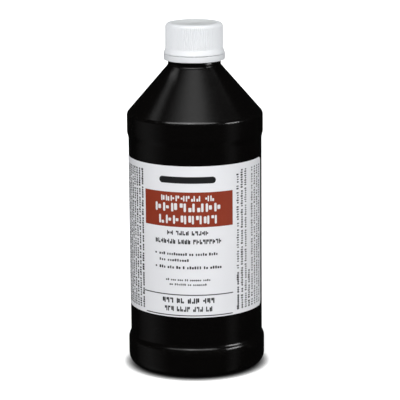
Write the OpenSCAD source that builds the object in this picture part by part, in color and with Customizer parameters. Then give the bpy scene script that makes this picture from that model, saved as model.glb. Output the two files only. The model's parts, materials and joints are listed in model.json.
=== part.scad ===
// Round blow-moulded bottle for an antiseptic solution, with a threaded neck,
// a ribbed tamper-evident screw cap and its liner, and a front label.
// Millimetres. +Z is up and -Y is the front. The origin is on the bottle's
// axis, on the plane that its base stands on.

/* [Body] */
// Diameter of the straight panel that carries the label
panel_d = 68.8; // [57:0.2:83]
// Length of that panel
panel_h = 102.6; // [80:0.2:124]
// Height of the base bulge, from the floor to its step
base_h = 14.1; // [10:0.1:20]
// How far the base bulge stands out from the panel
base_step = 1.2; // [0.6:0.1:2]
// Height of the shoulder bulge, from its step to the edge of the cone
bulge_h = 9.5; // [6:0.1:14]
// How far the shoulder bulge stands out from the panel
bulge_step = 0.7; // [0.3:0.1:1.6]
// Height of the eased step at each end of the panel
ramp_h = 3.4; // [2:0.1:5]
// Rise of the shoulder cone above the horizontal, in degrees
cone_angle = 49.2; // [40:0.1:60]
// Radius of the rounding between the shoulder bulge and the cone
edge_round = 3.2; // [2:0.1:5]
// Thickness of the blown wall
wall_t = 0.9; // [0.6:0.05:1.4]

/* [Base] */
// Radius of the rounded heel
heel_r = 5.3; // [3:0.1:8]
// Width of the flat ring that the bottle stands on
foot_w = 1.4; // [1:0.1:3]
// Height of the pushed-up centre of the base
push_up = 3.2; // [2:0.1:5]
// Length of the mould's pinch-off ridge across the base
pinch_len = 36; // [20:1:40]
// Width of that ridge
pinch_w = 1; // [0.6:0.1:1.6]
// How far the ridge stands down from the pushed-up centre
pinch_depth = 0.6; // [0.3:0.1:0.8]

/* [Neck] */
// Diameter over the neck's thread
thread_d = 27.2; // [22:0.1:33]
// Height of the thread above the neck's wall
thread_depth = 1.2; // [0.8:0.05:1.4]
// Rise of the thread in one turn
pitch = 4.233; // [3.5:0.001:5.1]
// Turns of thread on the neck
neck_turns = 1.5; // [1:0.25:1.75]
// Thickness of the neck's wall
neck_wall = 1.55; // [1.2:0.05:2]
// Height of the wider collar at the foot of the neck
collar_h = 2; // [1:0.1:2.4]
// How far that collar stands out from the neck's wall
collar_step = 1.2; // [0.6:0.1:1.6]
// Radius of the crease where the cone meets the collar
crease_round = 1; // [0.5:0.1:1.5]
// Height of the tamper bead's underside above the cone's edge
bead_rise = 5.1; // [4.2:0.1:6.2]
// Height of the tamper bead's straight edge
bead_h = 0.8; // [0.5:0.1:1.2]
// How far the tamper bead stands out beyond the thread
bead_over = 0.4; // [0.2:0.05:0.6]
// Space between the tamper bead and the thread's lower end
thread_low = 2.6; // [2.1:0.1:3.2]
// Distance from the middle of the thread's upper end to the mouth
thread_drop = 1.8; // [1.5:0.1:2.4]

/* [Cap] */
// Thickness of the cap's top
top_t = 1.2; // [0.8:0.05:1.6]
// Radial space between the neck's thread and the cap's wall
thread_clear = 0.25; // [0.2:0.05:0.5]
// Thickness of the cap's wall between its ribs
cap_wall = 0.77; // [0.5:0.01:1.2]
// Height of the grip ribs
rib_h = 0.28; // [0.15:0.01:0.5]
// Number of grip ribs
rib_count = 90; // [60:1:120]
// How far the plain skirt stands out beyond the ribs
flare = 0.8; // [0.4:0.1:1.2]
// Height of the plain skirt
skirt_h = 0.4; // [0.3:0.1:2]
// Height of the slope from the skirt to the ribs
slope_h = 2.1; // [1.5:0.1:3]
// Radius of the cap's rounded top edge
cap_round = 2.1; // [1:0.1:2.6]
// Space along the axis between the neck's thread and the cap's
flank_clear = 0.4; // [0.3:0.05:0.6]

/* [Liner] */
// Thickness of the liner disc
liner_t = 1; // [0.8:0.05:1.4]
// Radial space round the liner disc
liner_clear = 0.3; // [0.2:0.05:0.6]
// Space between the liner and the flat faces above and below it
seat_clear = 0.05; // [0.02:0.01:0.1]
// How far the lip that holds the liner stands in from the cap's wall
lip_in = 0.55; // [0.4:0.05:0.7]

/* [Tamper band] */
// Height of the tamper band
band_h = 3; // [2.8:0.1:4.4]
// How far the band's upper edge lies above the tamper bead's underside
band_over = 0.6; // [0.5:0.1:1.6]
// Width of the split between the cap and its band
split_gap = 0.3; // [0.2:0.05:0.5]
// Radial space between the band and the neck's tamper bead
band_clear = 0.35; // [0.25:0.05:0.5]
// How far the band's catch reaches in under the tamper bead
catch_in = 0.7; // [0.5:0.05:0.9]
// Space along the axis between the catch and the tamper bead
catch_clear = 0.55; // [0.4:0.05:0.7]
// Number of broken bridges on the band's upper edge
bridge_count = 12; // [6:1:16]
// Length of each bridge along the band
bridge_w = 0.8; // [0.5:0.1:1.2]

/* [Label] */
// Width of the label, measured round the bottle
label_w = 98.8; // [60:0.1:150]
// Space from the panel's lower end to the label
label_low = 15.2; // [2:0.1:20]
// Space from the label to the panel's upper end
label_high = 8.8; // [2:0.1:20]
// Radius of the label's corners
label_corner = 2.5; // [1:0.1:5]
// Thickness of the label film
label_t = 0.1; // [0.08:0.01:0.2]
// Direction that the label's middle faces, in degrees from +X
label_turn = -97.2; // [-180:0.1:180]

/* [Hidden] */
$fn = 96;

white = [0.95, 0.95, 0.94];
dark_brown = [0.035, 0.025, 0.022];

// Rounding at the tamper band's edges, and how far its middle swells out
band_edge = 0.25;
band_swell = 0.1;
// Steps in each rounding, and in each eased step of the wall
arc_steps = 8;
// Degrees between two sections of a thread
thread_step = 7.5;
// Degrees over which each end of a thread rises to its full height
thread_fade = 45;
// Share of a thread's height that is left at its very end
fade_floor = 0.1;
// How far a thread and a ridge are rooted in the wall behind them
rooted = 0.3;
// Cutting tools run past the faces that they cut by this much
past = 1;
// How far the arc of a label's corner runs past the label's edges
corner_past = 0.05;
// Space left between two broken bridges' ends and the cap
bridge_clear = 0.1;
// Widths of the neck's and the cap's thread at the wall and at the crest
neck_thread_w = [2.1, 1.1];
cap_thread_w = [1.9, 1];
// Height of the slope under the cap's wider lower bore, and of its lip
bore_slope_h = 1;
lip_h = 0.6;
// Radial space between the cap's thread and the neck's wall
crest_clear = 0.35;
// Shares of the ribs' spacing that a rib takes at its foot and at its tip
rib_foot = 0.56;
rib_tip = 0.28;
// Space between the ribs' tips and the wall of the shape that they are cut to
tip_clear = 0.05;
// Rounding at the mouth's outer and inner edges
land_round = 0.5;
bore_round = 0.3;
// Radius of the base's flat centre, and how steeply it falls from there to the foot
dome_flat_r = 8;
dome_power = 2.5;

// Radii of the bottle
panel_r = panel_d / 2;
base_r = panel_r + base_step;
bulge_r = panel_r + bulge_step;
foot_r = base_r - heel_r;
foot_in_r = foot_r - foot_w;
thread_r = thread_d / 2;
root_r = thread_r - thread_depth;
bore_r = root_r - neck_wall;
collar_r = root_r + collar_step;
bead_r = thread_r + bead_over;

// Heights of the bottle
panel_z0 = base_h + ramp_h;
panel_z1 = panel_z0 + panel_h;
bulge_z0 = panel_z1 + ramp_h;
bulge_z1 = bulge_z0 + bulge_h;
neck_z = bulge_z1 + (bulge_r - collar_r) * tan(cone_angle);
bead_z = neck_z + bead_rise;
bead_z1 = bead_z + bead_h + bead_r - root_r;
neck_thread_z = bead_z1 + thread_low + neck_thread_w[0] / 2;
mouth_z = neck_thread_z + neck_turns * pitch + thread_drop;
cone_bend = 90 - cone_angle;
edge_cut = edge_round * tan(cone_bend / 2);
crease_cut = crease_round * tan(cone_bend / 2);
cone_wall = wall_t / sin(cone_angle);
bore_z = neck_z + (collar_r - cone_wall - bore_r) * tan(cone_angle);

// Heights and radii of the cap, its liner and its band
liner_z = mouth_z + seat_clear;
ceiling_z = liner_z + liner_t + seat_clear;
cap_z1 = ceiling_z + top_t;
band_z1 = bead_z + band_over;
band_z0 = band_z1 - band_h;
cap_z0 = band_z1 + split_gap;
cap_in_r = thread_r + thread_clear;
cap_root_r = cap_in_r + cap_wall;
rib_r = cap_root_r + rib_h;
skirt_r = rib_r + flare;
skirt_in_r = bead_r + band_clear;
slope = flare / slope_h;
liner_r = cap_in_r - liner_clear;

// Threads: the cap's lies under the neck's, in mesh with it
neck_thread_start = thread_step / 2;
cap_thread_depth = cap_in_r - root_r - crest_clear;
cap_flank = (cap_thread_w[0] - cap_thread_w[1]) / cap_thread_depth;
cap_w_at_crest = cap_thread_w[0] - thread_clear * cap_flank;
cap_thread_z = neck_thread_z - (neck_thread_w[1] + cap_w_at_crest) / 2 - flank_clear;
cap_thread_start = neck_thread_start + 90;

// A round stretch of an outline about (x, z), from angle a0 to a1
function arc(x, z, r, a0, a1) =
    [for (i = [0:arc_steps])
        let (a = a0 + (a1 - a0) * i / arc_steps)
        [x + r * cos(a), z + r * sin(a)]];

// An eased step from radius r0 at height z0 to radius r1 at height z1
function ramp(r0, z0, r1, z1) =
    [for (i = [1:arc_steps - 1])
        let (t = i / arc_steps)
        [r0 + (r1 - r0) * (1 - cos(180 * t)) / 2, z0 + (z1 - z0) * t]];

// The pushed-up base, from the axis out to the foot, raised by lift
function dome(lift) = concat(
    [[0, push_up + lift]],
    [for (i = [0:arc_steps])
        let (t = i / arc_steps)
        [dome_flat_r + (foot_in_r - dome_flat_r) * t, push_up * (1 - pow(t, dome_power)) + lift]]);

// The body's wall, from the heel to the end of the shoulder's rounding, moved in by t
function body_wall(t) = concat(
    arc(foot_r, heel_r, heel_r - t, -90, 0),
    [[base_r - t, base_h]],
    ramp(base_r - t, base_h, panel_r - t, panel_z0),
    [[panel_r - t, panel_z0], [panel_r - t, panel_z1]],
    ramp(panel_r - t, panel_z1, bulge_r - t, bulge_z0),
    [[bulge_r - t, bulge_z0]],
    arc(bulge_r - edge_round, bulge_z1 - edge_cut, edge_round - t, 0, cone_bend));

// The neck's outside, from the crease up to the rounded edge of the mouth
function neck_wall_outline() = concat(
    arc(collar_r + crease_round, neck_z + crease_cut, crease_round, 180 + cone_bend, 180),
    [[collar_r, neck_z + collar_h],
     [root_r, neck_z + collar_h + collar_step],
     [root_r, bead_z],
     [bead_r, bead_z],
     [bead_r, bead_z + bead_h],
     [root_r, bead_z1]],
    arc(root_r - land_round, mouth_z - land_round, land_round, 0, 90));

function reversed(list) = [for (i = [len(list) - 1:-1:0]) list[i]];

function bottle_outline() = concat(
    dome(0),
    body_wall(0),
    neck_wall_outline(),
    arc(bore_r + bore_round, mouth_z - bore_round, bore_round, 90, 180),
    [[bore_r, bore_z]],
    reversed(body_wall(wall_t)),
    reversed(dome(wall_t)));

// Height of a thread's section at an angle, as a share of its full height
function fade(a, a0, a1) =
    max(fade_floor, min(1, (a - a0) / thread_fade, (a1 - a) / thread_fade));

// One section of a thread on a wall of radius r, whose crest is rise away from it.
// Its flanks run on into the wall, so that they cross its surface cleanly.
function thread_section(a, z, r, rise, widths, share) =
    let (flank = (widths[0] - widths[1]) / abs(rise),
         back = r - sign(rise) * rooted,
         back_w = widths[0] + flank * rooted,
         crest = r + rise * share,
         crest_w = widths[0] - flank * abs(rise) * share,
         outline = [[back, -back_w / 2], [crest, -crest_w / 2],
                    [crest, crest_w / 2], [back, back_w / 2]])
    [for (p = outline) [p[0] * cos(a), p[0] * sin(a), z + p[1]]];

// A helical thread on a wall of radius r. A negative rise points it inwards.
module thread(r, rise, widths, z, start, turns) {
    steps = round(turns * 360 / thread_step);
    stop = start + turns * 360;
    side = 4;
    points = [for (i = [0:steps])
        let (a = start + turns * 360 * i / steps)
        each thread_section(a, z + pitch * a / 360, r, rise, widths, fade(a, start, stop))];
    walls = [for (i = [0:steps - 1]) for (k = [0:side - 1])
        let (p = i * side + k, q = i * side + (k + 1) % side)
        each [[p, p + side, q], [q, p + side, q + side]]];
    ends = [[for (k = [0:side - 1]) k],
            [for (k = [side - 1:-1:0]) steps * side + k]];
    faces = concat(walls, ends);
    // The crest's side decides which way round the faces are listed
    polyhedron(points, rise < 0 ? faces : [for (f = faces) reversed(f)]);
}

// Blown shell with its threaded neck, tamper bead and pinch-off ridge
module bottle() {
    color(dark_brown) {
        rotate_extrude() polygon(bottle_outline());
        thread(root_r, thread_depth, neck_thread_w, neck_thread_z, neck_thread_start, neck_turns);
        rotate([0, 0, label_turn + 90])
            translate([-pinch_len / 2, -pinch_w / 2, push_up - pinch_depth])
                cube([pinch_len, pinch_w, pinch_depth + wall_t / 4]);
    }
}

// A square corner to cut from the label, less the round corner that stays.
// The round corner's arc runs past the label's edges a little, to cross them cleanly.
module label_corner_cut(side, z, up) {
    r = label_corner;
    inset = r - corner_past;
    turn = side * (label_w / 2 - inset) / panel_r * 180 / PI;
    rotate([0, 0, turn])
        translate([panel_r, 0, z - up * inset])
            rotate([0, 90, 0])
                difference() {
                    translate([up > 0 ? -r - past : 0, side > 0 ? 0 : -r - past, -past])
                        cube([r + past, r + past, 2 * past]);
                    translate([0, 0, -2 * past])
                        cylinder(r = r, h = 4 * past);
                }
}

// Thin film round the front of the panel
module label() {
    half_turn = label_w / 2 / panel_r * 180 / PI;
    z0 = panel_z0 + label_low;
    z1 = panel_z1 - label_high;
    color(white)
        rotate([0, 0, label_turn])
            difference() {
                rotate([0, 0, -half_turn])
                    rotate_extrude(angle = 2 * half_turn)
                        translate([panel_r, z0])
                            square([label_t, z1 - z0]);
                for (side = [-1, 1]) {
                    label_corner_cut(side, z0, -1);
                    label_corner_cut(side, z1, 1);
                }
            }
}

// Outline of the cap across its axis, with the grip ribs round it
module rib_outline() {
    step = 360 / rib_count;
    rib = [[cap_root_r, -rib_foot / 2], [rib_r, -rib_tip / 2],
           [rib_r, rib_tip / 2], [cap_root_r, rib_foot / 2]];
    polygon([for (i = [0:rib_count - 1]) for (p = rib)
        let (a = step * (i + p[1]))
        [p[0] * cos(a), p[0] * sin(a)]]);
}

// What the ribs are cut to: the cap's rounded top edge, and a wall just clear of the ribs' tips
module cap_envelope() {
    r = rib_r + tip_clear;
    edge = cap_round + tip_clear;
    rotate_extrude()
        polygon(concat(
            [[0, cap_z0], [r, cap_z0]],
            arc(r - edge, cap_z1 - edge, edge, 0, 90),
            [[0, cap_z1]]));
}

// The plain skirt, with a slope that runs in under the ends of the ribs
module cap_skirt() {
    buried_r = cap_in_r + cap_wall / 2;
    buried_z = cap_z0 + skirt_h + (skirt_r - buried_r) / slope;
    rotate_extrude()
        polygon([[0, cap_z0], [skirt_r, cap_z0], [skirt_r, cap_z0 + skirt_h],
                 [buried_r, buried_z], [0, buried_z]]);
}

// The space inside the cap, with the lip that holds the liner
module cap_cavity() {
    step_z = cap_z0 + skirt_h;
    lip_r = cap_in_r - lip_in;
    lip_z = liner_z - seat_clear;
    rotate_extrude()
        polygon([[0, cap_z0 - past], [skirt_in_r, cap_z0 - past],
                 [skirt_in_r, step_z], [cap_in_r, step_z + bore_slope_h],
                 [cap_in_r, lip_z - lip_h], [lip_r, lip_z - lip_h * 2 / 3],
                 [lip_r, lip_z - lip_h / 3], [cap_in_r, lip_z],
                 [cap_in_r, ceiling_z], [0, ceiling_z]]);
}

// Screw cap
module cap() {
    color(white) {
        difference() {
            union() {
                intersection() {
                    cap_envelope();
                    translate([0, 0, cap_z0 + skirt_h])
                        linear_extrude(cap_z1 - cap_z0)
                            rib_outline();
                }
                cap_skirt();
            }
            cap_cavity();
        }
        thread(cap_in_r, -cap_thread_depth, cap_thread_w, cap_thread_z, cap_thread_start, neck_turns);
    }
}

// Foam disc that seals the mouth
module cap_liner() {
    color(white)
        translate([0, 0, liner_z])
            cylinder(r = liner_r, h = liner_t);
}

// Ring that breaks from the cap and stays under the tamper bead
module tamper_band() {
    catch_r = bead_r - catch_in;
    catch_z = bead_z - catch_clear;
    color(white) {
        rotate_extrude()
            polygon([[skirt_in_r, band_z0], [skirt_r - band_edge, band_z0], [skirt_r, band_z0 + band_edge],
                     [skirt_r + band_swell, band_z1 - 3 * band_edge], [skirt_r + band_swell, band_z1 - band_edge],
                     [skirt_r - band_swell, band_z1], [skirt_in_r, band_z1],
                     [skirt_in_r, catch_z + catch_clear / 2], [catch_r, catch_z],
                     [catch_r, catch_z - band_edge * 2], [skirt_in_r, catch_z - catch_clear - band_edge * 2]]);
        for (i = [0:bridge_count - 1])
            rotate([0, 0, 360 * i / bridge_count])
                translate([skirt_in_r + rooted, -bridge_w / 2, band_z1 - rooted])
                    cube([skirt_r - skirt_in_r - 2 * rooted, bridge_w,
                          rooted + split_gap - bridge_clear]);
    }
}

bottle();
label();
cap();
cap_liner();
tamper_band();
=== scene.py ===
"""Round blow-moulded bottle for an antiseptic solution, with its ribbed screw cap, the cap's
liner, the tamper band that stays on the neck, and a printed label round the front.

Most pieces stand in for a CAD node, which is hidden in their place. Sizes are in millimetres and
turn into metres where a mesh is made. +Z is up, -Y is the front, and the origin is on the bottle's
axis.
"""
import json
import math
import random

import bmesh
import bpy
import numpy as np
from mathutils import Matrix, Vector


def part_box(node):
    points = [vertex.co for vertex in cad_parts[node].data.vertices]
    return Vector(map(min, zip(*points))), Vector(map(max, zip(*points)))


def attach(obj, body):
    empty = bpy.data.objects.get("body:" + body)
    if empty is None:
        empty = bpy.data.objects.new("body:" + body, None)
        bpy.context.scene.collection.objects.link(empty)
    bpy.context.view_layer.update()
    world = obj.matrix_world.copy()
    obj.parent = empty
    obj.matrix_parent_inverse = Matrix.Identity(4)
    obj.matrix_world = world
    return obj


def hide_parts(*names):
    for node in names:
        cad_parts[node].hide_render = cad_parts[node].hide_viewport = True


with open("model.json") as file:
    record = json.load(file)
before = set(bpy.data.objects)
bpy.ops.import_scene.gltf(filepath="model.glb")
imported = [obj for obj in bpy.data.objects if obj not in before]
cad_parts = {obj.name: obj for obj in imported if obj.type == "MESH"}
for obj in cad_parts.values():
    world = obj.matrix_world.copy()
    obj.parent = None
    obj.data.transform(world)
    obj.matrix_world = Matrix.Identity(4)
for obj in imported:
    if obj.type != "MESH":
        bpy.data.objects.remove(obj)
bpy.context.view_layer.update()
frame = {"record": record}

# ---------------------------------------------------------------- sizes, in millimetres

MM = 0.001
# How far the walls stay inside the CAD's widest point, which its facets round off
INSIDE = 0.03
# Corners closer than this are merged, and radii closer than the next count as the same
MERGE_WITHIN = 0.002
SAME_WITHIN = 0.01


def reach(node):
    """Widest radius, lowest and highest point of a CAD node."""
    low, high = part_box(node)
    return round(max(high.x, -low.x) / MM, 2) - INSIDE, low.z / MM, high.z / MM


def mount_size(name):
    """Radius of one of the part's mounts."""
    mounts = frame["record"]["mounts"]
    return next(m["dims"]["r_mm"] for m in mounts if m["name"] == name)


# From the frame
BASE_R, _, MOUTH_Z = reach("bottle")
SKIRT_R, CAP_Z0, CAP_Z1 = reach("cap")
LINER_R, LINER_Z0, LINER_Z1 = reach("cap_liner")
BAND_R, BAND_Z0, BRIDGE_Z1 = reach("tamper_band")
LABEL_R, LABEL_Z0, LABEL_Z1 = reach("label")
BORE_R = mount_size("mouth_bore")
THREAD_R = mount_size("neck_thread")
PITCH = frame["record"]["behaviour"]["couplings"][0]["ratio"] * 2 * math.pi / MM

# Body
LABEL_T = 0.1
BASE_H = 14.1
BULGE_STEP = 0.7
BULGE_Z0 = 123.5
BULGE_Z1 = 133.0
RAMP_H = 3.4
SOFTEN = 0.6
CONE_ANGLE = math.radians(49.2)
EDGE_ROUND = 3.2
WALL_T = 0.9
PANEL_R = LABEL_R - LABEL_T
BULGE_R = PANEL_R + BULGE_STEP
PANEL_Z0 = BASE_H + RAMP_H
PANEL_Z1 = BULGE_Z0 - RAMP_H

# Base
HEEL_R = 5.3
FOOT_W = 1.4
PUSH_UP = 3.2
DOME_FLAT_R = 8
DOME_POWER = 2.5
DOME_RINGS = 12
FOOT_R = BASE_R - HEEL_R
FOOT_IN_R = FOOT_R - FOOT_W
PINCH_LENGTH = 36
PINCH_WIDTH = 1
PINCH_DEPTH = 0.6
# Places along the pinch-off, as shares of half its length, and its size at each
PINCH_TAPER = [(-1, 0.2), (-0.97, 0.7), (-0.9, 1), (0.9, 1), (0.97, 0.7), (1, 0.2)]
# Its section: shares of its width across and of its depth down
PINCH_SECTION = [(-0.5, 0), (-0.25, -1), (0.25, -1), (0.5, 0), (0.5, 0.6), (-0.5, 0.6)]

# The mould's parting line, in line with the pinch-off across the base
PARTING_HEIGHT = 0.05
PARTING_WIDTH = 0.3

# Neck
NECK_WALL = 1.55
COLLAR_STEP = 1.2
COLLAR_H = 2
CREASE_ROUND = 1
BEAD_OVER = 0.4
BEAD_H = 0.8
BEAD_RISE = 5.1
BEAD_ROUND = 0.3
BEAD_CHAMFER = 0.1
LAND_ROUND = 0.5
BORE_ROUND = 0.3
THREAD_LOW = 2.6
# Steps up the threaded walls, and where the neck's start above its bead
NECK_STEP = 0.15
CAVITY_STEP = 0.16
THREADED_RISE = 0.5
NECK_THREAD = {"foot": 2.1, "crest": 1.1, "start": 3.75, "turns": 1.5}
# Degrees over which either end of a thread fades out
THREAD_FADE = 45
ROOT_R = BORE_R + NECK_WALL
COLLAR_R = ROOT_R + COLLAR_STEP
BEAD_R = THREAD_R + BEAD_OVER
CONE_BEND = math.pi / 2 - CONE_ANGLE
NECK_Z = BULGE_Z1 + (BULGE_R - COLLAR_R) * math.tan(CONE_ANGLE)
BEAD_Z = NECK_Z + BEAD_RISE
BEAD_Z1 = BEAD_Z + BEAD_H + BEAD_R - ROOT_R
NECK_THREAD_Z = BEAD_Z1 + THREAD_LOW + NECK_THREAD["foot"] / 2

# Cap
RIB_COUNT = 90
RIB_H = 0.28
# Places across a rib and half a valley on each side, as shares of the pitch, and the rise
RIB_SECTION = [(-0.5, 0), (-0.31, 0.08), (-0.21, 0.75), (-0.1, 1), (0, 1), (0.1, 1),
               (0.21, 0.75), (0.31, 0.08), (0.5, 0)]
FLARE = 0.8
SKIRT_H = 0.4
SLOPE_H = 2.1
# Where the flare's straight slope starts above the skirt and the skirt's wall ends below it
SLOPE_ABOVE = 0.2
SKIRT_BELOW = 0.1
SLOPE_ROWS = 12
CAP_ROUND = 2.1
CAP_WALL = 0.77
TOP_T = 1.2
BORE_SLOPE_H = 1
LIP_IN = 0.55
LIP_H = 0.6
LIP_CLEAR = 0.05
SKIRT_ROUND = 0.05
DISH_R = 12
DISH_DEPTH = 0.2
DISH_EDGE = 0.2
# Shares of the dish's depth: of its edge's middle over the floor, and of its top under the rim
DISH_EDGE_MIDDLE = 0.4
DISH_EDGE_TOP = 0.2
GATE_R = 1.1
GATE_DEPTH = 0.12
GATE_SLOPE = 0.15
CAP_THREAD = {"foot": 1.9, "crest": 1, "start": 93.75, "turns": 1.5}
CAP_THREAD_DEPTH = 1.1
FLANK_CLEAR = 0.4
RIB_R = SKIRT_R - FLARE
CAP_ROOT_R = RIB_R - RIB_H
CAP_IN_R = CAP_ROOT_R - CAP_WALL
CAP_CREST_W = 1.695
CAP_THREAD_Z = NECK_THREAD_Z - (NECK_THREAD["crest"] + CAP_CREST_W) / 2 - FLANK_CLEAR
CEILING_Z = CAP_Z1 - TOP_T

# Liner
LINER_EDGE = 0.15
MOUTH_MARK_DEPTH = 0.08
MOUTH_MARK_SLOPE = 0.2

# Tamper band
BRIDGE_COUNT = 12
BRIDGE_W = 0.8
BRIDGE_H = 0.2
# How far a broken bridge's stub is let into the band, and kept in from its two walls
BRIDGE_ROOT = 0.3
TORN_SIZE = 0.6
BAND_CLEAR = 0.35
BAND_SWELL = 0.1
BAND_EDGE = 0.25
CATCH_IN = 0.7
CATCH_CLEAR = 0.55
BAND_IN_R = BEAD_R + BAND_CLEAR
BAND_Z1 = BRIDGE_Z1 - BRIDGE_H

# Label
LABEL_W = 98.8
LABEL_CORNER = 2.5
LABEL_TURN = math.radians(-97.2)
# Width of one flat face of the film
SHEET_STEP = 0.6
INK_T = 0.02
# How far a printed block, or the film itself, is let into what it lies on
LET_IN = 0.02

# Steps once round the bottle and the band, and round the liner
ROUND_COUNT = 240
LINER_COUNT = 160

# Degrees between two faces from which their edge is crisp
CRISP_FROM = 38
CAP_CRISP_FROM = 50


# ---------------------------------------------------------------- nodes written as expressions


class Graph:
    """A node tree. add() makes any node: its settings first, then its values and links."""

    def __init__(self, tree):
        self.tree = tree

    def add(self, kind, inputs=None, settings=None, output=0):
        node = self.tree.nodes.new(kind)
        for name, value in (settings or {}).items():
            setattr(node, name, value)
        for name, value in (inputs or {}).items():
            if isinstance(value, Wire):
                self.tree.links.new(value.socket, node.inputs[name])
            else:
                node.inputs[name].default_value = value
        return Wire(self, node.outputs[output]) if node.outputs else None


class Wire:
    """An output of a node. Sums on wires add Math nodes to their tree."""

    def __init__(self, graph, socket):
        self.graph = graph
        self.socket = socket

    def maths(self, operation, *values):
        inputs = dict(enumerate(values))
        return self.graph.add("ShaderNodeMath", inputs, {"operation": operation})

    def __add__(self, other):
        return self.maths("ADD", self, other)

    def __radd__(self, other):
        return self.maths("ADD", other, self)

    def __sub__(self, other):
        return self.maths("SUBTRACT", self, other)

    def __rsub__(self, other):
        return self.maths("SUBTRACT", other, self)

    def __mul__(self, other):
        return self.maths("MULTIPLY", self, other)

    def __rmul__(self, other):
        return self.maths("MULTIPLY", other, self)

    def __truediv__(self, other):
        return self.maths("DIVIDE", self, other)

    def larger(self, other):
        return self.maths("MAXIMUM", self, other)

    def output(self, name):
        """Another output of the same node."""
        return Wire(self.graph, self.socket.node.outputs[name])


# ---------------------------------------------------------------- finishes

# Edges that rub on others in a box: the height of each, and how far the rubbing reaches
RUBBED_EDGES = [(BASE_H - 0.2, 2.4), (HEEL_R * 0.6, 3.0), (BULGE_Z1, 1.6)]

# Colours, in pairs where a finish wanders between two
BLACK_PLASTIC = (0.0024, 0.0021, 0.0020)
RUBBED_PLASTIC = (0.012, 0.0115, 0.011)
WHITE_PLASTIC = ((0.825, 0.84, 0.862), (0.865, 0.875, 0.895))
# Greyer white in the cap's dish: painted shade, standing for the flat top that catches less light
DISH_PAINTED_SHADE_WHITE = (0.72, 0.735, 0.74)
WHITE_FILM = ((0.845, 0.845, 0.87), (0.88, 0.88, 0.905))
WHITE_FOAM = ((0.74, 0.74, 0.72), (0.81, 0.81, 0.79))
BLACK_INK = ((0.014, 0.014, 0.016), (0.006, 0.006, 0.007))
RED_BROWN_INK = ((0.315, 0.040, 0.012), (0.255, 0.022, 0.004))
WHITE_INK = ((0.78, 0.76, 0.76), (0.84, 0.83, 0.84))


def new_material(name):
    made = bpy.data.materials.new(name)
    made.use_nodes = True
    made.node_tree.nodes.clear()
    return made, Graph(made.node_tree)


def object_place(graph):
    return graph.add("ShaderNodeTexCoord", output="Object")


def stretched(graph, place, scale):
    """The same place, with its pattern squeezed by scale along each axis."""
    return graph.add("ShaderNodeMapping", {"Vector": place, "Scale": scale})


def noise(graph, place, size, detail=2.0):
    """Smooth noise from 0 to 1 whose features are about size millimetres across."""
    inputs = {"Vector": place, "Scale": 1 / (size * MM), "Detail": detail}
    return graph.add("ShaderNodeTexNoise", inputs)


def between(graph, value, low, high, from_low=0.0, from_high=1.0):
    """Value's range from_low to from_high, made low to high with eased ends."""
    inputs = {"Value": value, "From Min": from_low, "From Max": from_high,
              "To Min": low, "To Max": high}
    return graph.add("ShaderNodeMapRange", inputs, {"interpolation_type": "SMOOTHSTEP"})


def blend_colours(graph, share, first, second):
    """The first colour where share is 0, and the second where it is 1. Either may be a wire."""
    ends = [end if isinstance(end, Wire) else (*end, 1.0) for end in (first, second)]
    inputs = {0: share, 6: ends[0], 7: ends[1]}
    return graph.add("ShaderNodeMix", inputs, {"data_type": "RGBA"}, output=2)


def finish_surface(graph, colour, roughness, height, depth, **fixed):
    """Ends a material in a Principled shader whose bumps are depth millimetres deep."""
    normal = graph.add("ShaderNodeBump", {"Height": height, "Distance": depth * MM})
    inputs = {"Base Color": colour, "Roughness": roughness, "Normal": normal}
    shader = graph.add("ShaderNodeBsdfPrincipled", {**inputs, **fixed})
    graph.add("ShaderNodeOutputMaterial", {"Surface": shader})


def near_height(graph, height, middle, width):
    """1 at a height on the bottle, falling to 0 at width above and below it."""
    away = (height - middle * MM).maths("ABSOLUTE", height - middle * MM)
    return between(graph, away, 1.0, 0.0, 0.0, width * MM)


def blown_black_plastic():
    """Near-black polyethylene: a faint orange peel, drawn streaks and scuffed edges."""
    made, graph = new_material("blown_black_plastic")
    place = object_place(graph)
    height = graph.add("ShaderNodeSeparateXYZ", {"Vector": place}, output="Z")
    peel = noise(graph, place, 1.6)
    ripple = noise(graph, place, 14.0)
    streaks = noise(graph, stretched(graph, place, (1.0, 1.0, 0.04)), 1.2)
    rubbed = near_height(graph, height, *RUBBED_EDGES[0])
    for edge in RUBBED_EDGES[1:]:
        rubbed = rubbed.larger(near_height(graph, height, *edge))
    marks = between(graph, noise(graph, place, 0.9, 4.0), 0.0, 1.0, 0.52, 0.7)
    scuffs = rubbed * marks
    colour = blend_colours(graph, scuffs * 0.6, BLACK_PLASTIC, RUBBED_PLASTIC)
    roughness = 0.14 + 0.06 * streaks + 0.1 * scuffs
    bumps = 0.35 * peel + ripple + 0.12 * streaks
    finish_surface(graph, colour, roughness, bumps, 0.06, IOR=1.51)
    return made


def in_dish(graph, place):
    """1 in the dish on top of the cap, and 0 on the rest of the white plastic."""
    apart = graph.add("ShaderNodeSeparateXYZ", {"Vector": place})
    depth = apart.output("Y")
    out = apart * apart + depth * depth
    rim = DISH_R - DISH_EDGE
    inside = between(graph, out, 1.0, 0.0, ((rim - 0.3) * MM) ** 2, (rim * MM) ** 2)
    in_top = CAP_Z1 - TOP_T / 2
    high_up = between(graph, apart.output("Z"), 0.0, 1.0, (in_top - 0.1) * MM, in_top * MM)
    return inside * high_up


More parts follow.
